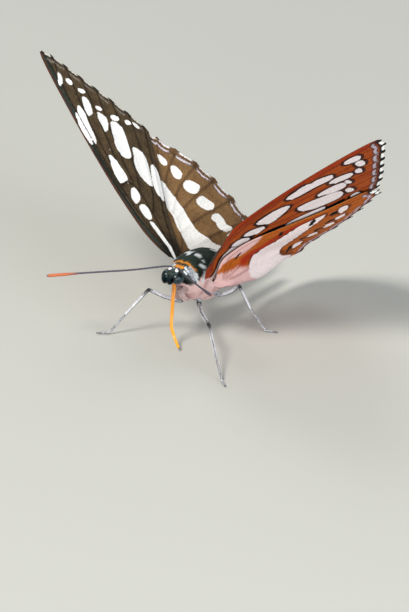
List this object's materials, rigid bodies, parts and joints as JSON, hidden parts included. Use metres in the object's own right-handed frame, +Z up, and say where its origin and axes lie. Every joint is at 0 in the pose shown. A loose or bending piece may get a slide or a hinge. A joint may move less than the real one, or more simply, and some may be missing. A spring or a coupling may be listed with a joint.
{
  "type": "common sergeant butterfly, life-size still model",
  "caption": "Brush-footed butterfly, dark brown with white bands above and orange-brown below, standing with half-raised wings and lowered proboscis.",
  "frame": {"origin": "on the floor, under the middle of the whole model's box", "axes": "the animal faces -Y, its left is +X and +Z is up; the wings span along X"},
  "size_m": [0.0537, 0.0349, 0.0324],
  "materials": {
    "body_fur": "dark teal-green hair with a dull sheen above, pinkish white below",
    "wing_scale": "matte powdery scales, dark brown and white above, orange-brown and lilac white below",
    "eye": "glossy dark compound eye",
    "pale_scale": "silvery white scales",
    "antenna": "dark ringed shaft with an orange club",
    "proboscis": "smooth orange-yellow cuticle"
  },
  "bodies": {
    "root": {"thorax": "body_fur", "abdomen": "body_fur", "head": "body_fur", "eye_left": "eye", "eye_right": "eye", "palp_left": "pale_scale", "palp_right": "pale_scale", "antenna_left": "antenna", "antenna_right": "antenna", "proboscis": "proboscis", "forewing_left": "wing_scale", "forewing_right": "wing_scale", "hindwing_left": "wing_scale", "hindwing_right": "wing_scale", "foreleg_left": "pale_scale", "foreleg_right": "pale_scale", "midleg_left": "pale_scale", "midleg_right": "pale_scale", "hindleg_left": "pale_scale", "hindleg_right": "pale_scale"}
  },
  "joints": []
}
